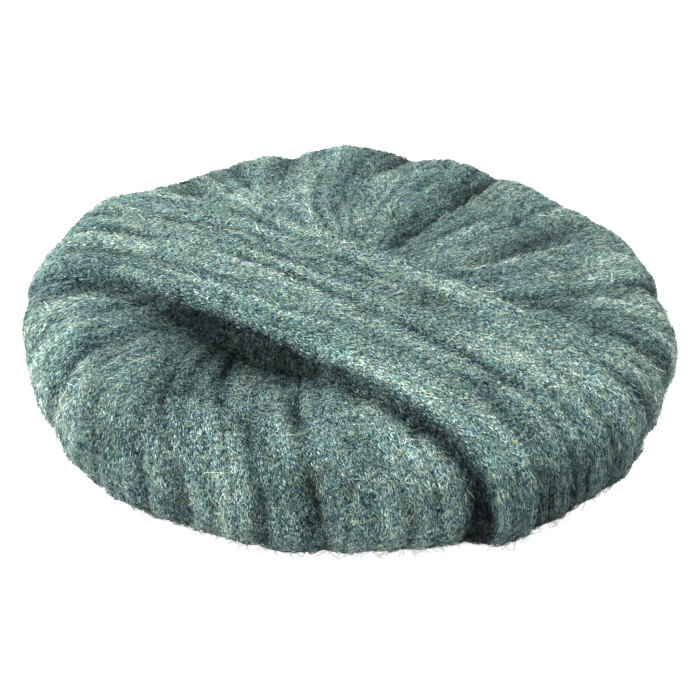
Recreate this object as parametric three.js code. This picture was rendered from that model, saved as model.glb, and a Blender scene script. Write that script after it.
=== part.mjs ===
// A radially wound steel wool pad: one long ribbon of steel wool wound over and under across the
// diameter, each turn a little further round than the one before. The last turn lies over all the
// others as a broad band, and the earlier turns fan out on both sides of it and fold over the rim.
// Millimetres, +Z up, origin at the middle of the underside.
import * as THREE from "three";
import { mergeVertices } from "three/addons/utils/BufferGeometryUtils.js";

// Overall size
const RADIUS = 216;
const THICKNESS = 66;
const RIM_WIDTH = 43; // how far in from the outline the rim's rounding starts
const RIM_FULLNESS = 2.4; // exponent of the rim's rounded section: 2 is an ellipse, more is squarer
const CROWN = 5; // how much thicker the pad is in the middle, where all the turns cross

// Mesh density
const AROUND = 144;
const STEPS_ON_TOP = 14;
const STEPS_ON_RIM = 12;
const STEPS_BELOW = 3;

// Where the outline stands out or draws in: azimuth and spread in degrees, push in millimetres
const LOBES = [
  { azimuth: 84, spread: 9, push: 8 },
  { azimuth: 147, spread: 10, push: 10 },
  { azimuth: 294, spread: 9, push: 7 },
  { azimuth: 324, spread: 12, push: 5 },
  { azimuth: 346, spread: 9, push: 2 },
  { azimuth: 36, spread: 9, push: -9 },
  { azimuth: 125, spread: 6, push: -9 },
  { azimuth: 203, spread: 16, push: -4 },
  { azimuth: 248, spread: 8, push: -4 },
  { azimuth: 273, spread: 7, push: -3 },
];

// The creases between neighbouring turns. Each runs out from radius start to the rim, over it and
// down the wall. azimuth is where it meets the rim; further in it lies turned by swing degrees for
// each radius of the pad. depth and width are in millimetres.
const CREASES = [
  { azimuth: 0, swing: -24, start: 80, depth: 7, width: 11 },
  { azimuth: 26, swing: -16, start: 62, depth: 6.5, width: 16 },
  { azimuth: 55, swing: -10, start: 28, depth: 6.5, width: 13 },
  { azimuth: 74, swing: 20, start: 60, depth: 6, width: 13 },
  { azimuth: 101, swing: 19, start: 112, depth: 5, width: 11 },
  { azimuth: 120, swing: -5, start: 132, depth: 4, width: 9 },
  { azimuth: 134, swing: -6, start: 126, depth: 5.5, width: 10 },
  { azimuth: 196, swing: -20, start: 165, depth: 2, width: 9 },
  { azimuth: 212, swing: -22, start: 140, depth: 4, width: 10 },
  { azimuth: 228, swing: -40, start: 150, depth: 2, width: 10 },
  { azimuth: 243, swing: -56, start: 128, depth: 5, width: 12 },
  { azimuth: 258, swing: -31, start: 132, depth: 5, width: 9 },
  { azimuth: 267, swing: -26, start: 115, depth: 5, width: 9 },
  { azimuth: 278, swing: -20, start: 130, depth: 4, width: 9 },
  { azimuth: 291, swing: 0, start: 196, depth: 7, width: 10 },
  { azimuth: 314, swing: 0, start: 204, depth: 5, width: 7 },
  { azimuth: 326, swing: 12, start: 150, depth: 5, width: 10 },
  { azimuth: 339, swing: 9, start: 104, depth: 6, width: 9 },
];
const CREASE_FADE_IN = 26; // length over which a crease deepens from its start

// The band: the last turn, in its own frame, along its run (u) and across it (v)
const BAND_AZIMUTH = -37; // degrees
const BAND_FRONT = -97; // v of its front edge at the narrowest
const BAND_FRONT_FLARE = 60; // how far that edge flares by one radius out
const BAND_REAR = 36; // v of its rear edge at the widest
const BAND_REAR_DRAW = 37; // how far that edge draws in by one radius out
const BAND_MIDDLE_FRONT = 11; // u about which the front edge is symmetric
const BAND_MIDDLE_REAR = 26;
const BAND_HEIGHT = 7; // how far the band stands above the turns under it
const BAND_HEIGHT_AT_RIM = 2.5;
const BAND_FRONT_EDGE = 22; // widths of its rounded edges
const BAND_REAR_EDGE = 14;

// The pocket along the band's front edge, where the earlier turns dive under it
const POCKET_DEPTH = 16;
const POCKET_WIDTH = 42;
const POCKET_CENTRE = -14; // u of its deepest point
const POCKET_LENGTH = 92;
// The crease that carries the pocket on along the front edge, over the rim where the band ends
const EDGE_CREASE_DEPTH = 9;
const EDGE_CREASE_WIDTH = 13;
// A smaller pocket behind the band, where the rear fan's creases meet
const REAR_POCKET_DEPTH = 7;
const REAR_POCKET_WIDTH = 20;
const REAR_POCKET_CENTRE = 20;
const REAR_POCKET_LENGTH = 75;

// Shallow grooves along the band: t is the place across it, 0 at the front edge and 1 at the rear
const BAND_GROOVES = [
  { t: 0.3, depth: 1.6 },
  { t: 0.5, depth: 2.8 },
  { t: 0.72, depth: 2 },
];
const BAND_GROOVE_WIDTH = 5;

// The underside rests flat, with shallow creases between its turns
const UNDER_CREASES = 14;
const UNDER_DEPTH = 3.5;
const UNDER_WIDTH = 7;
const UNDER_START = 90;
const UNDER_TURN = 12.5; // degrees from +X to the first of them

const WOOL_COLOUR = 0x839c96;
const WOOL_ROUGHNESS = 0.62;
const WOOL_METALNESS = 0.35;

const radians = THREE.MathUtils.degToRad;
const { smoothstep, lerp } = THREE.MathUtils;

// Difference between two azimuths in radians, from -PI to PI
function turnBetween(a, b) {
  return Math.atan2(Math.sin(a - b), Math.cos(a - b));
}

// A soft V, 1 at zero and falling away on both sides
function groove(distance, width) {
  return Math.exp(-Math.pow(Math.abs(distance) / width, 1.25));
}

// A smooth hump, 1 at zero
function hump(distance, width) {
  return Math.exp(-((distance / width) ** 2));
}

function outlinePush(azimuth) {
  let push = 0;
  for (const lobe of LOBES) {
    const away = turnBetween(azimuth, radians(lobe.azimuth));
    push += lobe.push * hump(away, radians(lobe.spread));
  }
  return push;
}

// How deep the creases between turns are at a place in plan
function creaseDepth(radius, azimuth) {
  let depth = 0;
  for (const crease of CREASES) {
    const inward = 1 - radius / RADIUS;
    const line = radians(crease.azimuth + crease.swing * inward);
    const away = radius * turnBetween(azimuth, line);
    const grown = smoothstep(radius, crease.start, crease.start + CREASE_FADE_IN);
    depth += crease.depth * grown * groove(away, crease.width);
  }
  return depth;
}

// The band's edges and its pockets, as a height over the plain top
function bandRelief(x, y) {
  const run = radians(BAND_AZIMUTH);
  const u = x * Math.cos(run) + y * Math.sin(run);
  const v = -x * Math.sin(run) + y * Math.cos(run);
  const front = BAND_FRONT - BAND_FRONT_FLARE * ((u - BAND_MIDDLE_FRONT) / RADIUS) ** 4;
  const rear = BAND_REAR - BAND_REAR_DRAW * ((u - BAND_MIDDLE_REAR) / RADIUS) ** 2;
  const insideFront = smoothstep(v, front - BAND_FRONT_EDGE / 3, front + BAND_FRONT_EDGE);
  const insideRear = smoothstep(-v, -rear - BAND_REAR_EDGE / 3, -rear + BAND_REAR_EDGE);
  const inside = insideFront * insideRear;
  const outward = (x * x + y * y) / RADIUS ** 2;
  const stand = lerp(BAND_HEIGHT, BAND_HEIGHT_AT_RIM, outward);
  const before = Math.min(v - front, 0);
  const behind = Math.max(v - rear, 0);
  const pocket =
    POCKET_DEPTH * hump(u - POCKET_CENTRE, POCKET_LENGTH) * hump(before, POCKET_WIDTH);
  const rearPocket =
    REAR_POCKET_DEPTH * hump(u - REAR_POCKET_CENTRE, REAR_POCKET_LENGTH) * hump(behind, REAR_POCKET_WIDTH);
  const edgeCrease =
    EDGE_CREASE_DEPTH * smoothstep(u, -RADIUS / 3, RADIUS) * groove(before, EDGE_CREASE_WIDTH);
  let grooves = 0;
  for (const { t, depth } of BAND_GROOVES) {
    grooves += depth * groove(v - lerp(front, rear, t), BAND_GROOVE_WIDTH);
  }
  const sunk = (1 - insideFront) * (pocket + edgeCrease) + (1 - insideRear) * rearPocket;
  return { height: inside * (stand - grooves) - sunk, inside };
}

// Relief of the top and the wall: everything but the pad's plain rounded form
function relief(radius, azimuth) {
  const band = bandRelief(radius * Math.cos(azimuth), radius * Math.sin(azimuth));
  const crown = CROWN * (1 - (radius / RADIUS) ** 2);
  return crown + band.height - (1 - band.inside) * creaseDepth(radius, azimuth);
}

// How far the underside's creases go up into the pad
function underDent(radius, azimuth) {
  const pitch = (2 * Math.PI) / UNDER_CREASES;
  const from = azimuth - radians(UNDER_TURN);
  const away = radius * (from - pitch * Math.round(from / pitch));
  const grown = smoothstep(radius, UNDER_START, UNDER_START + CREASE_FADE_IN * 2);
  return UNDER_DEPTH * grown * groove(away, UNDER_WIDTH);
}

// Section of the plain form from the middle of the underside to the middle of the top. Each point
// has its radius and height, and lean: -90 degrees on the underside, 0 on the wall, 90 on top.
function plainSection() {
  const flat = RADIUS - RIM_WIDTH;
  const section = [];
  for (let i = 0; i < STEPS_BELOW; i++) {
    section.push({ radius: (flat * i) / STEPS_BELOW, height: 0, lean: -Math.PI / 2 });
  }
  for (let i = 0; i <= STEPS_ON_RIM; i++) {
    const lean = Math.PI * (i / STEPS_ON_RIM - 0.5);
    const out = Math.max(Math.cos(lean), 0) ** (2 / RIM_FULLNESS);
    const up = Math.sign(Math.sin(lean)) * Math.abs(Math.sin(lean)) ** (2 / RIM_FULLNESS);
    section.push({ radius: flat + RIM_WIDTH * out, height: (THICKNESS / 2) * (1 + up), lean });
  }
  for (let i = 1; i <= STEPS_ON_TOP; i++) {
    section.push({ radius: flat * (1 - i / STEPS_ON_TOP), height: THICKNESS, lean: Math.PI / 2 });
  }
  return section;
}

// A point of the finished surface
function surfacePoint({ radius, height, lean }, azimuth) {
  const under = lean <= -Math.PI / 2 + 1e-6;
  const onWall = smoothstep(lean, -Math.PI / 2, -Math.PI / 8);
  const rise = under ? 0 : onWall * relief(radius, azimuth);
  const spread = outlinePush(azimuth) * (radius / RADIUS) ** 3;
  const r = Math.max(radius + spread + rise * Math.max(Math.cos(lean), 0), 0);
  const raised = height + rise * Math.sin(lean);
  const z = under ? underDent(radius, azimuth) : Math.max(raised, 0);
  return new THREE.Vector3(r * Math.cos(azimuth), r * Math.sin(azimuth), z);
}

// The pad as one closed body: the plain section turned about Z, then shaped point by point
function padGeometry() {
  const section = plainSection();
  const profile = section.map((point) => new THREE.Vector2(point.radius, point.height));
  const geometry = new THREE.LatheGeometry(profile, AROUND);
  const position = geometry.getAttribute("position");
  for (let column = 0; column <= AROUND; column++) {
    const azimuth = (2 * Math.PI * (column % AROUND)) / AROUND;
    for (let row = 0; row < section.length; row++) {
      const point = surfacePoint(section[row], azimuth);
      position.setXYZ(column * section.length + row, point.x, point.y, point.z);
    }
  }
  geometry.deleteAttribute("normal");
  geometry.deleteAttribute("uv");
  const shaped = mergeVertices(geometry);
  shaped.computeVertexNormals();
  return shaped;
}

function woolPad() {
  const wool = new THREE.MeshStandardMaterial({
    color: WOOL_COLOUR,
    roughness: WOOL_ROUGHNESS,
    metalness: WOOL_METALNESS,
  });
  const pad = new THREE.Mesh(padGeometry(), wool);
  pad.name = "wool_pad";
  return pad;
}

const group = new THREE.Group();
group.add(woolPad());

export default group;
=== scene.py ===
"""A radially wound steel wool pad, as a shaped body of wool under a coat of loose steel fibres.

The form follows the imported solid's: a round section turned about Z, with the last turn of the
ribbon lying over the others as a band, and the earlier turns fanning out on both sides of it.
Shapes are worked out in millimetres and degrees, and become metres only as meshes are made.
"""

import math

import bpy
import numpy as np
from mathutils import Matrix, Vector


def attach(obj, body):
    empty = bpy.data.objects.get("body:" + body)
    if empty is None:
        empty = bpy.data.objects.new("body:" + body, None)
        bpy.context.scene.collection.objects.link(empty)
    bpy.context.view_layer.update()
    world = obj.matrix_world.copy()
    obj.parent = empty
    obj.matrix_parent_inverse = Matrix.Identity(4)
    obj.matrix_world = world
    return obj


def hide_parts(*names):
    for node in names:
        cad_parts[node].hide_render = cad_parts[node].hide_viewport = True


MM = 0.001  # metres in a millimetre

# ---------------------------------------------------------------- form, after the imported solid

RADIUS = 216
THICKNESS = 66
RIM_WIDTH = 43
RIM_FULLNESS = 2.4
CROWN = 5
FLAT_RADIUS = RADIUS - RIM_WIDTH

# Where the outline stands out or draws in: azimuth, spread in degrees, push in millimetres
LOBES = (
    (84, 9, 8),
    (147, 10, 10),
    (294, 9, 7),
    (324, 12, 5),
    (346, 9, 2),
    (36, 9, -9),
    (125, 6, -9),
    (203, 16, -4),
    (248, 8, -4),
    (273, 7, -3),
)

# The creases between turns: azimuth at the rim, swing in degrees for each radius further in,
# the radius it starts at, depth, width
CREASES = (
    (0, -24, 80, 7, 11),
    (26, -16, 62, 6.5, 16),
    (55, -10, 28, 6.5, 13),
    (74, 20, 60, 6, 13),
    (101, 19, 112, 5, 11),
    (120, -5, 132, 4, 9),
    (134, -6, 126, 5.5, 10),
    (196, -20, 165, 2, 7),
    (212, -22, 140, 4, 8),
    (228, -40, 150, 2, 8),
    (243, -56, 128, 5, 8),
    (258, -31, 132, 5, 7),
    (267, -26, 115, 6, 7),
    (278, -20, 130, 4, 7),
    (291, 0, 196, 7, 9),
    (314, 0, 204, 5, 7),
    (326, 12, 150, 5, 10),
    (339, 9, 104, 6, 9),
)
CREASE_FADE_IN = 26
CREASE_SHADE_FADE_IN = 60  # the painted shade in a crease comes in more slowly than its depth
CREASE_CORE = 0.65  # widths of a crease's narrow core and of the trough it lies in
CREASE_TROUGH = 1.5
CREASE_TROUGH_SHARE = 0.6
CREASE_WANDER = 5  # how far a crease strays to either side of its line, and over what length
CREASE_WANDER_LENGTH = 45
CREASE_UNEVEN = 0.5  # how much a crease's depth varies along it, and how much faster than its line
CREASE_UNEVEN_PACE = 1.3
GROOVE_SHARPNESS = 1.25  # of the soft V that every groove and crease is made of
COAT = 1.8  # how far the body keeps inside the solid, to leave room for the loose fibres

# The band, in its own frame: along its run (u) and across it (v)
BAND_AZIMUTH = -37
BAND_FRONT = -97
BAND_FRONT_FLARE = 60
BAND_REAR = 36
BAND_REAR_DRAW = 37
BAND_MIDDLE_FRONT = 11
BAND_MIDDLE_REAR = 26
BAND_HEIGHT = 7
BAND_HEIGHT_AT_RIM = 2.5
BAND_FRONT_EDGE = 19  # width of the slope up each edge, narrower than the solid's
BAND_REAR_EDGE = 10
BAND_GROOVES = ((0.3, 1.6), (0.5, 2.8), (0.72, 2))  # place across the band, depth
BAND_GROOVE_WIDTH = 4

# The pockets along its two edges: depth, width, u of the deepest point, length
FRONT_POCKET = (12, 40, -14, 74)
REAR_POCKET = (6, 14, 20, 80)

# The narrow crease that follows each edge of the band all the way: its depth where the band
# starts on the left and where it ends on the right, and its width
FRONT_EDGE_CREASE = (3, 6, 9)
REAR_EDGE_CREASE = (2.5, 2.5, 6)

UNDER_CREASES = 14
UNDER_DEPTH = 3.5
UNDER_WIDTH = 7
UNDER_START = 90
UNDER_TURN = 12.5

# The lean down to which the wall has all of the top's relief, and up to which it has some of
# the underside's
WALL_SHAPED_TO = -math.pi / 8
UNDER_SHAPED_TO = -math.pi / 3

# How far in from the rim the fan's wool still swings, in radii, and the rounds it takes to trace it
FAN_SWING_REACH = 0.55
FAN_TRACE_ROUNDS = 14

# ---------------------------------------------------------------- finer folds, for the eye only

# Folds that run with the wool: how many there are round the pad or how wide they are,
# how long each runs, and how high it stands
FAN_FOLDS = ((64, 110, 0.9), (150, 60, 0.8))
BAND_FOLDS = ((17, 170, 0.9), (7, 90, 0.8))
FOLD_LEVEL = 0.7  # taken off each fold, so that folds don't thicken the wool as a whole
VALLEY = 0.22  # how near its lowest line a fold counts as a valley
FOLD_FADE_IN = 50  # radius by which the fan's folds have grown to their full height
LUMPS = ((38, 2), (14, 1.3))  # how far apart the wool's random lumps are, and how high

# Lighter and darker streaks: how many there are round the pad or how wide they are, how long
# each runs, and its share
FAN_MOTTLE = ((210, 50, 0.5), (70, 36, 0.5))
BAND_MOTTLE = ((5, 75, 0.6), (13, 45, 0.4))
BAND_SIDE = 0.3  # how far inside the band a place takes the band's streaks

# Seeds of the smooth random values. Each table takes as many seeds in turn as it has rows.
LUMP_SEED = 7
FAN_FOLD_SEED = 11
BAND_FOLD_SEED = 31
FAN_MOTTLE_SEED = 51
BAND_MOTTLE_SEED = 53
WANDER_SEED = 61
UNEVEN_SEED = 62
FIBRE_SEED = 20

# ---------------------------------------------------------------- painted shade in the wool's colour

# Painted shade: the depth at which each kind of hollow is fully shaded, and how much shade is painted
# in the fold valleys and towards the foot
REAR_SHADE_DEPTH = 16
CREASE_SHADE_DEPTH = 12
GROOVE_SHADE_DEPTH = 6
VALLEY_SHADE = 0.25
FOOT_SHADE = 0.36
FOOT_SHADE_FROM = 0.5  # lean on the upper wall from which painted shade darkens the wool towards the foot

# The painted shadow before the band's front edge, and how far it reaches: where the narrow crease
# starts on the left, where it ends on the right, and in the pocket
EDGE_SHADOW = (0.5, 0.9, 1.06)
EDGE_SHADOW_REACH = (5, 8, 34)
EDGE_SHADOW_FADE = (0.45, 0.95)  # how far up the edge it starts to fade, and where it is gone

# Broad patches of painted shade on the wool: azimuth, spread in degrees, how much, and whether it is
# on the wall only, or else all over the wool before the band
PAINTED_SHADE_PATCHES = (
    (236, 24, 0.22, False),
    (305, 18, 0.5, True),
)
SHADE_RANGE = 0.92  # how much of its colour the wool loses under the fullest painted shade

# ---------------------------------------------------------------- small helpers


def smoothstep(value, low, high):
    part = np.clip((value - low) / (high - low), 0, 1)
    return part * part * (3 - 2 * part)


def blend(a, b, part):
    return a + (b - a) * part


def groove(distance, width):
    """A soft V, 1 at zero and falling away on both sides."""
    return np.exp(-((np.abs(distance) / width) ** GROOVE_SHARPNESS))


def hump(distance, width):
    """A smooth hump, 1 at zero."""
    return np.exp(-((distance / width) ** 2))


def turn_between(a, b):
    """Difference between two azimuths, from -pi to pi."""
    return np.arctan2(np.sin(a - b), np.cos(a - b))


def soft_noise(x, y, seed, cells=64):
    """Smooth random values from -1 to 1, repeating every so many cells each way."""
    lattice = np.random.default_rng(seed).uniform(-1, 1, (cells, cells))
    left = np.floor(x)
    low = np.floor(y)
    across = smoothstep(x - left, 0, 1)
    up = smoothstep(y - low, 0, 1)
    i = left.astype(int) % cells
    j = low.astype(int) % cells
    i_next = (i + 1) % cells
    j_next = (j + 1) % cells
    near = blend(lattice[i, j], lattice[i_next, j], across)
    far = blend(lattice[i, j_next], lattice[i_next, j_next], across)
    return blend(near, far, up)


# ---------------------------------------------------------------- the section, by its length


def plain_section():
    """The section from the middle of the top to the middle of the underside.

    Returns its length so far, radius, height and lean (pi/2 on top, 0 on the wall) at each point.
    """
    rim_points = 241
    lean = np.linspace(math.pi / 2, -math.pi / 2, rim_points)
    out = np.maximum(np.cos(lean), 0) ** (2 / RIM_FULLNESS)
    up = np.sign(np.sin(lean)) * np.abs(np.sin(lean)) ** (2 / RIM_FULLNESS)
    radius = np.concatenate(([0], FLAT_RADIUS + RIM_WIDTH * out, [0]))
    height = np.concatenate(([THICKNESS], THICKNESS / 2 * (1 + up), [0]))
    lean = np.concatenate(([math.pi / 2], lean, [-math.pi / 2]))
    steps = np.hypot(np.diff(radius), np.diff(height))
    length = np.concatenate(([0], np.cumsum(steps)))
    return length, radius, height, lean


SECTION_LENGTH, SECTION_RADIUS, SECTION_HEIGHT, SECTION_LEAN = plain_section()
WHOLE_LENGTH = SECTION_LENGTH[-1]
FOOT = WHOLE_LENGTH - FLAT_RADIUS  # where the wall ends and the flat underside starts


def section_at(length):
    """Radius, height and lean at a length along the section."""
    radius = np.interp(length, SECTION_LENGTH, SECTION_RADIUS)
    height = np.interp(length, SECTION_LENGTH, SECTION_HEIGHT)
    lean = np.interp(length, SECTION_LENGTH, SECTION_LEAN)
    return radius, height, lean


# ---------------------------------------------------------------- how the wool runs


def band_place(x, y):
    """Where a place in plan lies in the band's frame, and how far it is inside the band."""
    run = math.radians(BAND_AZIMUTH)
    u = x * math.cos(run) + y * math.sin(run)
    v = -x * math.sin(run) + y * math.cos(run)
    front = BAND_FRONT - BAND_FRONT_FLARE * ((u - BAND_MIDDLE_FRONT) / RADIUS) ** 4
    rear = BAND_REAR - BAND_REAR_DRAW * ((u - BAND_MIDDLE_REAR) / RADIUS) ** 2
    in_front = smoothstep(v, front - BAND_FRONT_EDGE / 3, front + BAND_FRONT_EDGE)
    in_rear = smoothstep(-v, -rear - BAND_REAR_EDGE / 3, -rear + BAND_REAR_EDGE)
    return {"u": u, "v": v, "front": front, "rear": rear, "in_front": in_front, "in_rear": in_rear}


def band_heading(band):
    """Azimuth in plan of the wool's run inside the band."""
    front_slope = -4 * BAND_FRONT_FLARE / RADIUS * ((band["u"] - BAND_MIDDLE_FRONT) / RADIUS) ** 3
    rear_slope = -2 * BAND_REAR_DRAW / RADIUS * ((band["u"] - BAND_MIDDLE_REAR) / RADIUS)
    across = np.clip((band["v"] - band["front"]) / (band["rear"] - band["front"]), 0, 1)
    slope = blend(front_slope, rear_slope, across)
    return math.radians(BAND_AZIMUTH) + np.arctan(slope)


def fan_swing(line):
    """Swing of the fan's wool, in radians for each radius inwards, by azimuth at the rim."""
    azimuths = np.radians([crease[0] for crease in CREASES])
    swings = np.radians([crease[1] for crease in CREASES])
    return np.interp(line, azimuths, swings, period=2 * math.pi)


def fan_line(radius, azimuth):
    """Azimuth at which the fan's wool through this place meets the rim, and its swing."""
    inward = np.clip(1 - radius / RADIUS, 0, FAN_SWING_REACH)
    line = azimuth
    for _ in range(FAN_TRACE_ROUNDS):
        line = (line + azimuth - fan_swing(line) * inward) / 2
    return line, fan_swing(line)


# ---------------------------------------------------------------- relief


def crease_depth(length, radius, azimuth):
    """How deep the creases are at a place, and how much shade is painted in them."""
    depth, dark = 0, 0
    for crease_azimuth, swing, start, deep, width in CREASES:
        line = np.radians(crease_azimuth + swing * (1 - radius / RADIUS))
        along = length / CREASE_WANDER_LENGTH
        row = np.full_like(along, crease_azimuth)
        wander = CREASE_WANDER * soft_noise(along, row, WANDER_SEED)
        uneven = 1 + CREASE_UNEVEN * soft_noise(along * CREASE_UNEVEN_PACE, row, UNEVEN_SEED)
        away = radius * turn_between(azimuth, line) + wander
        core = groove(away, CREASE_CORE * width)
        trough = groove(away, CREASE_TROUGH * width)
        full = deep * uneven * blend(core, trough, CREASE_TROUGH_SHARE)
        depth = depth + full * smoothstep(radius, start, start + CREASE_FADE_IN)
        dark = dark + full * smoothstep(radius, start, start + CREASE_SHADE_FADE_IN)
    return depth, dark


def pocket_depth(pocket, u, past_edge):
    """How deep a pocket is at a distance past the band's edge."""
    deep, width, centre, length = pocket
    return deep * hump(u - centre, length) * hump(past_edge, width)


def painted_edge_shadow(u, past_edge):
    """Painted shadow on the wool where it dives under the band's front edge."""
    _, _, centre, length = FRONT_POCKET
    in_pocket = hump(u - centre, length)
    along = smoothstep(u, -RADIUS / 2, RADIUS)
    dark, reach = [
        blend(blend(at_start, at_end, along), inside_pocket, in_pocket)
        for at_start, at_end, inside_pocket in (EDGE_SHADOW, EDGE_SHADOW_REACH)
    ]
    return dark * np.exp(-np.abs(past_edge) / reach)


def edge_crease(crease, u, past_edge):
    """How deep the narrow crease is at a distance past the band's edge."""
    deep_at_start, deep_at_end, width = crease
    deep = blend(deep_at_start, deep_at_end, smoothstep(u, -RADIUS / 3, RADIUS))
    return deep * groove(past_edge, width)


def painted_shade_patches(azimuth, lean, in_front):
    """Painted shade over the front fan and on the wall under the band's right end."""
    wall = smoothstep(-lean, -math.pi / 3, 0)
    dark = 0
    for middle, spread, share, wall_only in PAINTED_SHADE_PATCHES:
        place = wall if wall_only else 1 - in_front
        away = turn_between(azimuth, math.radians(middle))
        dark = dark + share * place * hump(away, math.radians(spread))
    return dark


def folds(noise, high):
    """Rounded folds with sharp valleys between them: their height, and how deep in a valley, which
    sets the painted shade there.
    """
    size = np.abs(noise)
    return high * (2 * size - FOLD_LEVEL), np.maximum(1 - size / VALLEY, 0)


def fan_folds(length, radius, line):
    """The fans' folds, which run out from the middle."""
    height, valley = 0, 0
    for seed, (count, run, high) in enumerate(FAN_FOLDS, start=FAN_FOLD_SEED):
        across = line / (2 * math.pi) * count
        noise = soft_noise(across, length / run, seed, cells=count)
        more_height, more_valley = folds(noise, high)
        height, valley = height + more_height, valley + more_valley
    grown = smoothstep(radius, 0, FOLD_FADE_IN)
    return height * grown, valley * grown


def band_folds(band):
    """The band's folds, which run along it."""
    height, valley = 0, 0
    across = band["v"] - (band["front"] + band["rear"]) / 2
    for seed, (wide, run, high) in enumerate(BAND_FOLDS, start=BAND_FOLD_SEED):
        noise = soft_noise(across / wide, band["u"] / run, seed)
        more_height, more_valley = folds(noise, high)
        height, valley = height + more_height, valley + more_valley
    return height, valley


def fan_mottle(length, line):
    """Lighter and darker streaks in the fans, from -1 to 1."""
    turn = line / (2 * math.pi)
    streaks = 0
    for seed, (count, run, share) in enumerate(FAN_MOTTLE, start=FAN_MOTTLE_SEED):
        streaks = streaks + share * soft_noise(turn * count, length / run, seed, cells=count)
    return streaks


def band_mottle(band):
    """Lighter and darker streaks in the band, from -1 to 1."""
    streaks = 0
    for seed, (wide, run, share) in enumerate(BAND_MOTTLE, start=BAND_MOTTLE_SEED):
        streaks = streaks + share * soft_noise(band["v"] / wide, band["u"] / run, seed)
    return streaks


def lump_height(length, azimuth):
    """Random lumps, the same in all directions."""
    height = 0
    for seed, (apart, high) in enumerate(LUMPS, start=LUMP_SEED):
        chart_x = length * np.cos(azimuth) / apart
        chart_y = length * np.sin(azimuth) / apart
        height = height + high * soft_noise(chart_x, chart_y, seed)
    return height


def groove_depth(band):
    """How deep the shallow grooves along the band are."""
    depth = 0
    for place, deep in BAND_GROOVES:
        middle = blend(band["front"], band["rear"], place)
        depth = depth + deep * groove(band["v"] - middle, BAND_GROOVE_WIDTH)
    return depth


def terrain(length, azimuth):
    """Everything that the top and the wall have at a place, as a set of named arrays."""
    radius, height, lean = section_at(length)
    band = band_place(radius * np.cos(azimuth), radius * np.sin(azimuth))
    inside = band["in_front"] * band["in_rear"]
    line, swing = fan_line(radius, azimuth)
    outward = (radius / RADIUS) ** 2

    u = band["u"]
    before = np.minimum(band["v"] - band["front"], 0)
    behind = np.maximum(band["v"] - band["rear"], 0)
    front_sunk = pocket_depth(FRONT_POCKET, u, before) + edge_crease(FRONT_EDGE_CREASE, u, before)
    rear_sunk = pocket_depth(REAR_POCKET, u, behind) + edge_crease(REAR_EDGE_CREASE, u, behind)
    sunk = (1 - band["in_front"]) * front_sunk + (1 - band["in_rear"]) * rear_sunk
    grooves = groove_depth(band)
    crease, crease_shade = crease_depth(length, radius, azimuth)
    fan_height, fan_valley = fan_folds(length, radius, line)
    band_height, band_valley = band_folds(band)
    fold_height = blend(fan_height, band_height, inside)

    stand = blend(BAND_HEIGHT, BAND_HEIGHT_AT_RIM, outward)
    rise = CROWN * (1 - outward) + inside * (stand - grooves) - sunk
    rise = rise + fold_height + lump_height(length, azimuth)
    rise = rise - (1 - inside) * crease - COAT

    # Painted shade, put into the wool's colour: a shadow before the band's front edge, shade in the
    # pockets, creases, grooves and fold valleys, towards the foot and in broad patches
    on_top = smoothstep(band["in_front"], *EDGE_SHADOW_FADE)
    painted_shade = (1 - on_top) * painted_edge_shadow(u, before)
    painted_shade = painted_shade + (1 - band["in_rear"]) * rear_sunk / REAR_SHADE_DEPTH
    painted_shade = painted_shade + (1 - inside) * crease_shade / CREASE_SHADE_DEPTH
    painted_shade = painted_shade + inside * grooves / GROOVE_SHADE_DEPTH
    painted_shade = painted_shade + VALLEY_SHADE * blend(fan_valley, band_valley, inside)
    painted_shade = painted_shade + FOOT_SHADE * smoothstep(-lean, -FOOT_SHADE_FROM, math.pi / 2)
    painted_shade = painted_shade + painted_shade_patches(azimuth, lean, band["in_front"])
    return {
        "mottle": blend(fan_mottle(length, line), band_mottle(band), inside > BAND_SIDE),
        "radius": radius,
        "height": height,
        "lean": lean,
        "rise": rise,
        "inside": inside,
        "painted_shade": np.clip(painted_shade, 0, 1),
        "folds": fold_height,
        "band": band,
        "line": line,
        "swing": swing,
    }


def under_dent(radius, azimuth):
    """How far the evenly spaced creases of the underside are sunk."""
    pitch = 2 * math.pi / UNDER_CREASES
    turned = azimuth - math.radians(UNDER_TURN)
    away = radius * (turned - pitch * np.round(turned / pitch))
    grown = smoothstep(radius, UNDER_START, UNDER_START + 2 * CREASE_FADE_IN)
    return UNDER_DEPTH * grown * groove(away, UNDER_WIDTH)


def outline_push(azimuth):
    """How far the outline stands out at an azimuth."""
    push = 0
    for lobe_azimuth, spread, reach in LOBES:
        away = turn_between(azimuth, math.radians(lobe_azimuth))
        push = push + reach * hump(away, math.radians(spread))
    return push


def surface(length, azimuth, land=None):
    """Point of the surface at a length along the section and an azimuth, in millimetres."""
    land = land or terrain(length, azimuth)
    radius, lean = land["radius"], land["lean"]
    on_wall = smoothstep(lean, -math.pi / 2, WALL_SHAPED_TO)
    rise = on_wall * land["rise"]
    spread = outline_push(azimuth) * (radius / RADIUS) ** 3
    r = np.maximum(radius + spread + rise * np.maximum(np.cos(lean), 0), 0)
    below = 1 - smoothstep(lean, -math.pi / 2, UNDER_SHAPED_TO)
    z = land["height"] + rise * np.sin(lean) + below * under_dent(radius, azimuth)
    return np.stack((r * np.cos(azimuth), r * np.sin(azimuth), np.maximum(z, 0)), axis=-1)


# ---------------------------------------------------------------- two flat charts of the surface

# The top chart unrolls the surface from the middle of the top: a place's distance from the
# chart's origin is its length along the section. The lower chart does so from the underside.

CHART_STEP = 0.8  # the step over which slopes are measured
NEAR_ZERO = 1e-9  # kept under a divisor, so that it is never nothing
NEAR_ZERO_AREA = 1e-6


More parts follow.
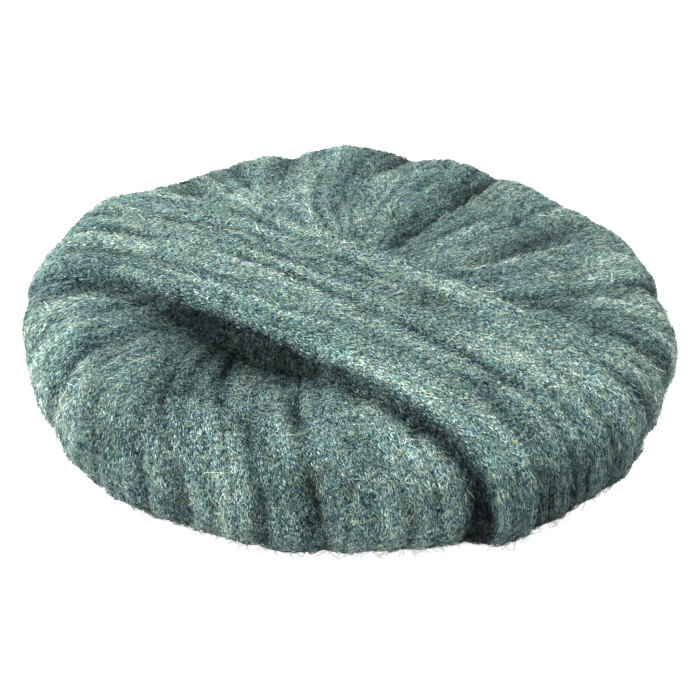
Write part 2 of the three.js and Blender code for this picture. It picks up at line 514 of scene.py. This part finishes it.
def chart_to_place(chart_x, chart_y, lower):
    """Length along the section and azimuth of a place on a chart."""
    away = np.hypot(chart_x, chart_y)
    azimuth = np.arctan2(chart_y, chart_x)
    return np.where(lower, WHOLE_LENGTH - away, away), azimuth


def chart_surface(chart_x, chart_y, lower):
    return surface(*chart_to_place(chart_x, chart_y, lower))


def chart_slopes(chart_x, chart_y, lower):
    """How the surface moves for a unit step along each axis of the chart."""
    ahead = chart_surface(chart_x + CHART_STEP, chart_y, lower)
    behind = chart_surface(chart_x - CHART_STEP, chart_y, lower)
    up = chart_surface(chart_x, chart_y + CHART_STEP, lower)
    down = chart_surface(chart_x, chart_y - CHART_STEP, lower)
    return (ahead - behind) / (2 * CHART_STEP), (up - down) / (2 * CHART_STEP)


def unit(vectors):
    size = np.linalg.norm(vectors, axis=-1, keepdims=True)
    return vectors / np.maximum(size, NEAR_ZERO)


def dot(a, b):
    return np.sum(a * b, axis=-1)


# ---------------------------------------------------------------- meshes


def add_mesh(name, points, faces, uv_by_point, material):
    """A smooth mesh object from points in millimetres, all faces having the same number of sides."""
    mesh = bpy.data.meshes.new(name)
    mesh.vertices.add(len(points))
    mesh.vertices.foreach_set("co", (points * MM).astype(np.float32).ravel())
    mesh.loops.add(faces.size)
    mesh.loops.foreach_set("vertex_index", faces.astype(np.int32).ravel())
    mesh.polygons.add(len(faces))
    starts = np.arange(len(faces), dtype=np.int32) * faces.shape[1]
    mesh.polygons.foreach_set("loop_start", starts)
    mesh.update(calc_edges=True)
    mesh.shade_smooth()
    layer = mesh.uv_layers.new(name="OFBake")
    layer.uv.foreach_set("vector", uv_by_point[faces.ravel()].astype(np.float32).ravel())
    mesh.materials.append(material)
    piece = bpy.data.objects.new(name, mesh)
    bpy.context.scene.collection.objects.link(piece)
    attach(piece, "root")
    return piece


def add_attribute(piece, name, values):
    """One value or one vector for each point, that a material can read."""
    kind = "FLOAT_VECTOR" if values.ndim == 2 else "FLOAT"
    field = "vector" if values.ndim == 2 else "value"
    attribute = piece.data.attributes.new(name, kind, "POINT")
    attribute.data.foreach_set(field, values.astype(np.float32).ravel())


# ---------------------------------------------------------------- materials


def colour(code):
    """Linear RGBA from a hexadecimal screen colour."""
    channels = [int(code[place : place + 2], 16) / 255 for place in (0, 2, 4)]
    linear = [(c / 12.92) if c <= 0.04045 else ((c + 0.055) / 1.055) ** 2.4 for c in channels]
    return (*linear, 1)


# Tones of the loose fibres and of the wool under them, from the darkest to the brightest, with a few
# blue and yellow-green ones. In the fibres' ramp the blue, yellow-green and near-white tones are
# painted glints: highlights put into the fibres' colour.
FIBRE_TONES = (
    (0.00, "051a2a"),
    (0.12, "1c3d4c"),
    (0.20, "3d5b79"),
    (0.28, "416867"),
    (0.40, "5c8070"),
    (0.50, "72908c"),
    (0.62, "82959f"),
    (0.68, "8ca499"),
    (0.76, "9ba77b"),
    (0.84, "a1b4a6"),
    (0.95, "b9c7bb"),
    (1.00, "dee6dc"),
)
DEEP_TONES = (
    (0.00, "04182a"),
    (0.20, "1b384a"),
    (0.36, "315068"),
    (0.50, "456d67"),
    (0.64, "68887c"),
    (0.78, "859d9c"),
    (0.90, "9eaf90"),
    (1.00, "bccabc"),
)


NOISE_DETAIL = 2
NOISE_ROUGHNESS = 0.6


class Nodes:
    """Adds and links the nodes of one material."""

    def __init__(self, name):
        self.material = bpy.data.materials.new(name)
        self.material.use_nodes = True
        self.tree = self.material.node_tree
        self.shader = self.tree.nodes["Principled BSDF"]

    def add(self, kind, inputs=None, **settings):
        node = self.tree.nodes.new(kind)
        for name, value in settings.items():
            setattr(node, name, value)
        for name, value in (inputs or {}).items():
            self.set(node.inputs[name], value)
        return node

    def set(self, socket, value):
        if isinstance(value, bpy.types.NodeSocket):
            self.tree.links.new(value, socket)
        else:
            socket.default_value = value

    def ramp(self, factor, stops):
        node = self.add("ShaderNodeValToRGB", {"Fac": factor})
        elements = node.color_ramp.elements
        while len(elements) < len(stops):
            elements.new(1)
        for element, (place, code) in zip(elements, stops):
            element.position = place
            element.color = colour(code)
        return node.outputs["Color"]

    def math(self, operation, a, b):
        node = self.add("ShaderNodeMath", operation=operation)
        self.set(node.inputs[0], a)
        self.set(node.inputs[1], b)
        return node.outputs[0]

    def noise(self, vector):
        inputs = {
            "Vector": vector,
            "Scale": 1,
            "Detail": NOISE_DETAIL,
            "Roughness": NOISE_ROUGHNESS,
        }
        return self.add("ShaderNodeTexNoise", inputs).outputs["Fac"]

    def attribute(self, name, output):
        return self.add("ShaderNodeAttribute", attribute_name=name).outputs[output]

    def multiply(self, tint, factor):
        node = self.add("ShaderNodeMix", data_type="RGBA", blend_type="MULTIPLY")
        node.inputs["Factor"].default_value = 1
        self.set(node.inputs[6], tint)
        self.set(node.inputs[7], factor)
        return node.outputs[2]


FIBRE_METALLIC = 0.35
FIBRE_ROUGHNESS = 0.45
FIBRE_SPECULAR = 0.05
DEEP_ROUGHNESS = 0.55

# Shares of the streaks along the wool's run and of those in all directions, the range of their
# sum that the tones are spread over, and how much they stand out
RUN_SHARE = 0.65
CROSS_SHARE = 0.35
STREAK_RANGE = (0.39, 0.61)
STREAK_BUMP = 0.9
STREAK_RELIEF = 0.0004  # in metres


def fibre_steel():
    """Loose fibres: each carries its own tone and its painted shade in its UV map."""
    nodes = Nodes("fibre_steel")
    place = nodes.add("ShaderNodeUVMap", uv_map="OFBake").outputs["UV"]
    parts = nodes.add("ShaderNodeSeparateXYZ", {"Vector": place})
    tone = nodes.ramp(parts.outputs["X"], FIBRE_TONES)
    nodes.set(nodes.shader.inputs["Base Color"], nodes.multiply(tone, parts.outputs["Y"]))
    nodes.shader.inputs["Metallic"].default_value = FIBRE_METALLIC
    nodes.shader.inputs["Specular IOR Level"].default_value = FIBRE_SPECULAR
    nodes.shader.inputs["Roughness"].default_value = FIBRE_ROUGHNESS
    return nodes.material


def deep_wool():
    """The wool under the loose fibres: fine streaks along its run, with shade painted in the hollows.
    """
    nodes = Nodes("deep_wool")
    fan = nodes.noise(nodes.attribute("fan_run", "Vector"))
    band = nodes.noise(nodes.attribute("band_run", "Vector"))
    cross = nodes.noise(nodes.attribute("cross_run", "Vector"))
    on_band = nodes.attribute("on_band", "Fac")
    run = nodes.add("ShaderNodeMix", data_type="FLOAT")
    nodes.set(run.inputs[0], on_band)
    nodes.set(run.inputs[2], fan)
    nodes.set(run.inputs[3], band)
    streaks = nodes.math("MULTIPLY_ADD", run.outputs[0], RUN_SHARE)
    nodes.set(streaks.node.inputs[2], nodes.math("MULTIPLY", cross, CROSS_SHARE))
    low, high = STREAK_RANGE
    stretch = {"Value": streaks, "From Min": low, "From Max": high}
    spread = nodes.add("ShaderNodeMapRange", stretch).outputs["Result"]
    tone = nodes.ramp(spread, DEEP_TONES)
    # The shade attribute is painted shade, lightened and darkened at random by the streaks
    shade = nodes.attribute("shade", "Fac")
    nodes.set(nodes.shader.inputs["Base Color"], nodes.multiply(tone, shade))
    relief = {"Height": spread, "Strength": STREAK_BUMP, "Distance": STREAK_RELIEF}
    bump = nodes.add("ShaderNodeBump", relief)
    nodes.set(nodes.shader.inputs["Normal"], bump.outputs["Normal"])
    nodes.shader.inputs["Metallic"].default_value = FIBRE_METALLIC
    nodes.shader.inputs["Specular IOR Level"].default_value = FIBRE_SPECULAR
    nodes.shader.inputs["Roughness"].default_value = DEEP_ROUGHNESS
    return nodes.material


# ---------------------------------------------------------------- the body

GRID_CELLS = 200
TOP_ISLAND = 0.62  # side of the top's square in the UV map; the underside takes the rest
ISLAND_GAP = 0.01
STREAK_WIDTH = 0.6
STREAK_LENGTH = 2.6
SHADE_MOTTLE = 0.3  # how much the streaks lighten and darken the body


def square_on_disc(cells):
    """A square grid laid on the unit disc, each of its rings on a circle."""
    side = np.linspace(-1, 1, cells + 1)
    a, b = np.meshgrid(side, side, indexing="ij")
    sideways = np.abs(a) > np.abs(b)
    reach = np.where(sideways, a, b)
    turn = np.where(
        sideways,
        math.pi / 4 * b / np.where(sideways, a, 1),
        math.pi / 2 - math.pi / 4 * a / np.where(b == 0, 1, b),
    )
    return reach * np.cos(turn), reach * np.sin(turn), (a + 1) / 2, (b + 1) / 2


def grid_faces(index):
    """Quads between the points of a square grid, anticlockwise."""
    corners = (index[:-1, :-1], index[1:, :-1], index[1:, 1:], index[:-1, 1:])
    return np.stack(corners, axis=-1).reshape(-1, 4)


def shade_of(painted_shade):
    """How much of its colour the wool keeps under painted shade."""
    return 1 - SHADE_RANGE * painted_shade


def wool_body(material):
    """The closed body of wool: a grid over the top and the wall, and one over the underside."""
    disc_x, disc_y, side_a, side_b = square_on_disc(GRID_CELLS)
    rim = (side_a == 0) | (side_a == 1) | (side_b == 0) | (side_b == 1)
    top_index = np.arange(disc_x.size).reshape(disc_x.shape)
    low_index = top_index.copy()
    low_index[~rim] = disc_x.size + np.arange(np.count_nonzero(~rim))

    top_length, top_azimuth = chart_to_place(disc_x.ravel() * FOOT, disc_y.ravel() * FOOT, False)
    low_x = disc_x[~rim] * FLAT_RADIUS
    low_y = disc_y[~rim] * FLAT_RADIUS
    low_length, low_azimuth = chart_to_place(low_x, low_y, True)
    length = np.concatenate((top_length, low_length))
    azimuth = np.concatenate((top_azimuth, low_azimuth))
    land = terrain(length, azimuth)
    points = surface(length, azimuth, land)

    faces = np.concatenate((grid_faces(top_index), grid_faces(low_index)[:, ::-1]))
    piece = add_mesh("wool_body", points, faces, np.zeros((len(points), 2)), material)
    set_body_uv(piece, side_a, side_b, rim)

    around = land["line"]
    ring = RADIUS / STREAK_WIDTH
    fan_run = np.stack((np.cos(around) * ring, np.sin(around) * ring, length / STREAK_LENGTH), axis=-1)
    band = land["band"]
    middle = (band["front"] + band["rear"]) / 2
    across = (band["v"] - middle) / STREAK_WIDTH
    band_run = np.stack((across, band["u"] / STREAK_LENGTH, np.zeros_like(across)), axis=-1)
    add_attribute(piece, "fan_run", fan_run)
    add_attribute(piece, "band_run", band_run)
    add_attribute(piece, "cross_run", points / STREAK_WIDTH)
    add_attribute(piece, "on_band", (land["inside"] > 1 / 2).astype(float))
    # Painted shade, lightened and darkened at random by the streaks
    add_attribute(piece, "shade", shade_of(land["painted_shade"]) * (1 + SHADE_MOTTLE * land["mottle"]))
    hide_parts("wool_pad")
    return piece


def set_body_uv(piece, side_a, side_b, rim):
    """The top's grid in one corner of the map, and the underside's in the opposite one."""
    top = grid_faces(np.arange(side_a.size).reshape(side_a.shape))
    flat = np.stack((side_a.ravel(), side_b.ravel()), axis=-1)
    top_uv = ISLAND_GAP / 2 + flat[top] * TOP_ISLAND
    low_side = 1 - TOP_ISLAND - 2 * ISLAND_GAP
    low_uv = 1 - ISLAND_GAP / 2 - flat[top[:, ::-1]] * low_side
    uv = np.concatenate((top_uv.reshape(-1, 2), low_uv.reshape(-1, 2)))
    piece.data.uv_layers["OFBake"].uv.foreach_set("vector", uv.astype(np.float32).ravel())


# ---------------------------------------------------------------- loose fibres

SIDES = 3  # of a fibre's section
LYING_LEVEL = (-0.1, 1.3)  # how high a lying fibre's middle is, and how much lower its tips are
LYING_DIP = (-0.4, 1.0)
HAIR_REACH = (1, 5.5)  # how far a stray hair stands out, and the share of it along the hair
HAIR_RISE = (-0.1, 0.3, 0.85, 1)


def lying(rng, count):
    """Heights of a fibre that lies in the wool: its tips mostly lower than its middle."""
    level = rng.uniform(*LYING_LEVEL, count)
    dip = rng.uniform(*LYING_DIP, (count, 2))
    return np.stack((level - dip[:, 0], level, level - dip[:, 1]), axis=-1)


def standing(rng, count):
    """Heights of a stray hair: one end in the wool, the other standing out of it."""
    reach = rng.uniform(*HAIR_REACH, count)
    return reach[:, None] * np.array(HAIR_RISE)


# Two kinds of fibre. places are its two tips and the rings of points between them, from its
# middle; length and width are ranges; astray is the share that crosses the wool's run; lift
# gives the heights of its places above the body.
LYING_FIBRE = {
    "places": np.array((-1, 0, 1)),
    "length": (2.6, 6.8),
    "width": (0.26, 0.62),
    "bend": 0.14,
    "astray": 0.35,
    "lift": lying,
}
STRAY_HAIR = {
    "places": np.array((-1, -0.4, 0.4, 1)),
    "length": (5, 14),
    "width": (0.2, 0.36),
    "bend": 0.1,
    "astray": 1,
    "lift": standing,
}
CROSSING = 1.5  # the largest angle, in radians, at which a fibre crosses the run
EDGE_CALM = 0.8  # how much fewer cross it by the band's front edge
BAND_RUN_FROM = (0.02, 0.3)  # how far inside the band fibres start to follow its run
BAND_BORDER = (0.3, 0.7)  # how far inside it the band's own coat starts
SCATTER_STEPS = 400


def fibre_faces(count, rings):
    """Triangles of so many fibres: a tip, rings of points, a tip."""
    faces = []
    last_tip = 1 + rings * SIDES
    last_ring = last_tip - SIDES
    for side in range(SIDES):
        following = (side + 1) % SIDES
        faces.append((1 + following, 1 + side, 0))
        faces.append((last_ring + side, last_ring + following, last_tip))
        for ring in range(rings - 1):
            start = 1 + ring * SIDES
            a, b = start + side, start + following
            c, d = b + SIDES, a + SIDES
            faces.append((a, b, d))
            faces.append((b, c, d))
    return (np.arange(count)[:, None, None] * (last_tip + 1) + np.array(faces)).reshape(-1, 3)


def scatter(rng, count, low, high, keep=None):
    """Places spread evenly over the surface between two lengths along the section."""
    lengths = np.linspace(low, high, SCATTER_STEPS)
    radii = section_at(lengths)[0]
    share = np.cumsum(radii)
    share = share / share[-1]
    found_length = np.empty(0)
    found_azimuth = np.empty(0)
    while len(found_length) < count:
        length = np.interp(rng.uniform(0, 1, count), share, lengths)
        azimuth = rng.uniform(0, 2 * math.pi, count)
        chosen = keep(length, azimuth, rng) if keep else np.ones(count, bool)
        found_length = np.concatenate((found_length, length[chosen]))
        found_azimuth = np.concatenate((found_azimuth, azimuth[chosen]))
    return found_length[:count], found_azimuth[:count]


def run_direction(land, azimuth, on_band):
    """Angle of the wool's run from straight outwards, anticlockwise from above."""
    fan = np.arctan2(-land["radius"] * land["swing"] / RADIUS, 1)
    band = turn_between(band_heading(land["band"]), azimuth)
    flipped = np.abs(band) > math.pi / 2
    outward = turn_between(band + np.where(flipped, math.pi, 0), 0)
    over_rim = 1 - smoothstep(land["lean"], math.pi / 4, math.pi / 2)
    return np.where(on_band, outward * (1 - over_rim), fan * (1 - over_rim))


def run_axes(land, azimuth, away, heading, steps, normal):
    """Unit vectors on the surface along the wool's run and across it."""
    widening = away / np.maximum(land["radius"], 1)
    outward = np.cos(heading)
    around = np.sin(heading) * widening
    chart_x = outward * np.cos(azimuth) - around * np.sin(azimuth)
    chart_y = outward * np.sin(azimuth) + around * np.cos(azimuth)
    forward = unit(chart_x[:, None] * steps[0] + chart_y[:, None] * steps[1])
    return forward, np.cross(normal, forward)


def chart_step(travel, step_x, step_y):
    """The step on the chart that makes this travel along the surface."""
    xx, xy, yy = dot(step_x, step_x), dot(step_x, step_y), dot(step_y, step_y)
    along_x, along_y = dot(travel, step_x), dot(travel, step_y)
    area = np.maximum(xx * yy - xy * xy, NEAR_ZERO_AREA)
    return (yy * along_x - xy * along_y) / area, (xx * along_y - xy * along_x) / area


def fibres(name, material, rng, places, kind, spread, lower=False):
    """A coat of loose fibres of one kind at these places.

    spread is the angle in degrees by which they stray from the wool's run.
    """
    length, azimuth = places
    count = len(length)
    land = terrain(length, azimuth)
    past_front = land["band"]["v"] - land["band"]["front"]
    by_edge = np.abs(past_front) < rng.uniform(0, BAND_FRONT_EDGE, count)
    on_band = by_edge | (land["inside"] > rng.uniform(*BAND_RUN_FROM, count))
    heading = run_direction(land, azimuth, on_band)
    calm = hump(past_front - BAND_FRONT_EDGE / 2, BAND_FRONT_EDGE)
    astray = rng.uniform(0, 1, count) < kind["astray"] * (1 - EDGE_CALM * calm)
    crossing = np.where(astray, rng.uniform(-CROSSING, CROSSING, count), 0)
    astray_by = np.radians(rng.normal(0, spread, count)) + crossing

    away = WHOLE_LENGTH - length if lower else length
    chart = np.stack((away * np.cos(azimuth), away * np.sin(azimuth)))
    step_x, step_y = chart_slopes(*chart, lower)
    normal = unit(np.cross(step_x, step_y)) * (-1 if lower else 1)
    forward, sideways = run_axes(land, azimuth, away, heading, (step_x, step_y), normal)

    half = rng.uniform(*kind["length"], count) / 2
    bend = rng.normal(0, kind["bend"], count)
    distance = kind["places"] * half[:, None]
    angle = astray_by[:, None] + bend[:, None] * np.abs(distance) / 2
    reach = distance * np.cos(angle), distance * np.sin(angle)
    travel = reach[0][..., None] * forward[:, None] + reach[1][..., None] * sideways[:, None]
    chart_x, chart_y = chart_step(travel, step_x[:, None], step_y[:, None])
    middle = chart_surface(chart[0][:, None] + chart_x, chart[1][:, None] + chart_y, lower)
    normal = np.broadcast_to(normal[:, None], middle.shape)
    middle = middle + normal * kind["lift"](rng, count)[..., None]

    width = rng.uniform(*kind["width"], count)
    points = fibre_points(middle, normal, width)
    points[..., 2] = np.maximum(points[..., 2], 0)
    uv = fibre_uv(rng, land, kind["places"])
    rings = len(kind["places"]) - 2
    return add_mesh(name, points.reshape(-1, 3), fibre_faces(count, rings), uv, material)


def fibre_points(middle, normal, width):
    """Points round the middle line of each fibre, in the order that fibre_faces takes them."""
    tangent = unit(np.gradient(middle, axis=1))
    sideways = unit(np.cross(tangent, normal))
    upright = np.cross(sideways, tangent)
    rings = middle.shape[1] - 2
    points = np.empty((len(middle), 2 + rings * SIDES, 3))
    points[:, 0] = middle[:, 0]
    points[:, -1] = middle[:, -1]
    reach = (width / 2)[:, None]
    for ring in range(1, rings + 1):
        for side in range(SIDES):
            turn = 2 * math.pi * side / SIDES
            out = upright[:, ring] * math.cos(turn) - sideways[:, ring] * math.sin(turn)
            points[:, 1 + (ring - 1) * SIDES + side] = middle[:, ring] + out * reach
    return points


TONE_BETA = (1.3, 1.0)  # the two numbers of the beta distribution that the tones are drawn from
TONE_MOTTLE = 0.3  # how much streaks change a fibre's tone, and how much painted light on fold crests and painted shade in fold valleys and hollows shift it
TONE_FOLD = 0.04
TONE_PAINTED_SHADE = 0.35
TONE_CHANGE = 0.2  # how much a tone changes from a fibre's middle to its tips
SHADE_SPREAD = (0.8, 1)
TONE_MARGIN = 0.01
TONE_PATCH = 0.004  # half the width of a fibre's patch in the UV map
SHADE_PATCH = 0.015


def fibre_uv(rng, land, places):
    """Each fibre's tone and painted shade, as a small patch of the UV map."""
    count = len(land["mottle"])
    tone = rng.beta(*TONE_BETA, count) + TONE_MOTTLE * land["mottle"] + TONE_FOLD * land["folds"]
    tone = tone - TONE_PAINTED_SHADE * land["painted_shade"]
    change = rng.normal(0, TONE_CHANGE, count)
    shade = shade_of(land["painted_shade"]) * rng.uniform(*SHADE_SPREAD, count)
    ends = np.concatenate(([-1], np.repeat(places[1:-1], SIDES), [1]))
    sides = np.concatenate(([0], np.tile(np.arange(SIDES) - 1, len(places) - 2), [0]))
    uv = np.empty((count, len(ends), 2))
    uv[..., 0] = tone[:, None] + change[:, None] * ends + sides * TONE_PATCH
    uv[..., 0] = np.clip(uv[..., 0], TONE_MARGIN, 1 - TONE_MARGIN)
    uv[..., 1] = shade[:, None] - SHADE_PATCH + ends * SHADE_PATCH
    return uv.reshape(-1, 2)


def in_band(length, azimuth, rng):
    return terrain(length, azimuth)["inside"] > rng.uniform(*BAND_BORDER, len(length))


def outside_band(length, azimuth, rng):
    return ~in_band(length, azimuth, rng)


# ---------------------------------------------------------------- build

# Lengths along the section where one coat of fibres ends and the next starts
TOP_END = FLAT_RADIUS + 22
SHOULDER_END = TOP_END + 42
HAIR_END = FOOT - 34

# The coats: name, count, lengths along the section, the places to keep, kind of fibre, degrees
# by which they stray, whether they are on the lower chart
COATS = (
    ("band_fibres", 29000, (0, TOP_END), in_band, LYING_FIBRE, 30, False),
    ("fan_fibres", 32000, (0, TOP_END), outside_band, LYING_FIBRE, 35, False),
    ("shoulder_fibres", 25000, (TOP_END, SHOULDER_END), None, LYING_FIBRE, 38, False),
    ("wall_fibres", 29000, (SHOULDER_END, FOOT), None, LYING_FIBRE, 40, False),
    ("under_fibres", 6000, (FOOT, WHOLE_LENGTH), None, LYING_FIBRE, 30, True),
    ("stray_hairs", 8000, (0, HAIR_END), None, STRAY_HAIR, 0, False),
)


def wool_pad():
    deep = deep_wool()
    steel = fibre_steel()
    rng = np.random.default_rng(FIBRE_SEED)
    wool_body(deep)
    for name, count, (low, high), keep, kind, spread, lower in COATS:
        places = scatter(rng, count, low, high, keep)
        fibres(name, steel, rng, places, kind, spread, lower)


# ---------------------------------------------------------------- stage, light and camera

# The floor, in metres. It reaches past any horizon that a low view shows.
FLOOR_HALF = 40
FLOOR_DROP = -0.0004
FLOOR_TINT = (0.9, 0.9, 0.9, 1)
FLOOR_ROUGHNESS = 0.9
FLOOR_GLOW = 0.8  # keeps the shadows on the pale floor faint
GLOW_TINT = (1, 1, 1, 1)

# The lamps: name, place and size in metres, power in watts, tint
LAMPS = (
    ("key_light", (-1.5, 0.0, 1.55), 0.8, 168, (1, 0.97, 0.95)),
    ("rear_light", (1.5, 1.0, 1.3), 1.0, 36, (0.96, 0.99, 1)),
)
BACKDROP_TINT = (1, 1, 0.99, 1)
BACKDROP_STRENGTH = 1.01


def floor():
    mesh = bpy.data.meshes.new("floor")
    signs = ((-1, -1), (1, -1), (1, 1), (-1, 1))
    corners = [(x * FLOOR_HALF, y * FLOOR_HALF, FLOOR_DROP) for x, y in signs]
    mesh.from_pydata(corners, [], [(0, 1, 2, 3)])
    nodes = Nodes("pale_floor")
    nodes.shader.inputs["Base Color"].default_value = FLOOR_TINT
    nodes.shader.inputs["Roughness"].default_value = FLOOR_ROUGHNESS
    nodes.shader.inputs["Emission Color"].default_value = GLOW_TINT
    nodes.shader.inputs["Emission Strength"].default_value = FLOOR_GLOW
    mesh.materials.append(nodes.material)
    plane = bpy.data.objects.new("floor", mesh)
    bpy.context.scene.collection.objects.link(plane)


def area_light(name, place, size, power, tint):
    """A square lamp that points at the origin."""
    light = bpy.data.lights.new(name, "AREA")
    light.color = tint
    light.size = size
    light.energy = power
    lamp = bpy.data.objects.new(name, light)
    lamp.location = place
    lamp.rotation_euler = (-Vector(place)).to_track_quat("-Z", "Y").to_euler()
    bpy.context.scene.collection.objects.link(lamp)


def studio_light():
    for lamp in LAMPS:
        area_light(*lamp)
    world = bpy.data.worlds.new("studio")
    world.use_nodes = True
    backdrop = world.node_tree.nodes["Background"]
    backdrop.inputs["Color"].default_value = BACKDROP_TINT
    backdrop.inputs["Strength"].default_value = BACKDROP_STRENGTH
    bpy.context.scene.world = world
    bpy.context.scene.view_settings.view_transform = "Standard"


CAMERA_ELEVATION = 35.2
CAMERA_DISTANCE = 4 * RADIUS * MM
CAMERA_AIM = Vector((0.011, 0, 0.026)) * RADIUS * MM
CAMERA_LENS = 64.2


def camera():
    lens = bpy.data.cameras.new("camera")
    lens.lens = CAMERA_LENS
    viewer = bpy.data.objects.new("camera", lens)
    elevation = math.radians(CAMERA_ELEVATION)
    viewer.location = Vector((0, -math.cos(elevation), math.sin(elevation))) * CAMERA_DISTANCE
    heading = CAMERA_AIM - viewer.location
    viewer.rotation_euler = heading.to_track_quat("-Z", "Y").to_euler()
    bpy.context.scene.collection.objects.link(viewer)
    bpy.context.scene.camera = viewer


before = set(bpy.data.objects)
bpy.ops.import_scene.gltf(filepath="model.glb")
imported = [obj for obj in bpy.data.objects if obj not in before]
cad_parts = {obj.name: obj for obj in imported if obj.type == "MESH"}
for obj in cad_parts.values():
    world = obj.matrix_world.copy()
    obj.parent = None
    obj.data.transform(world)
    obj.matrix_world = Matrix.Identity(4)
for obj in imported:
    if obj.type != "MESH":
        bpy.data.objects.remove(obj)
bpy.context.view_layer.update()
camera()
wool_pad()
floor()
studio_light()
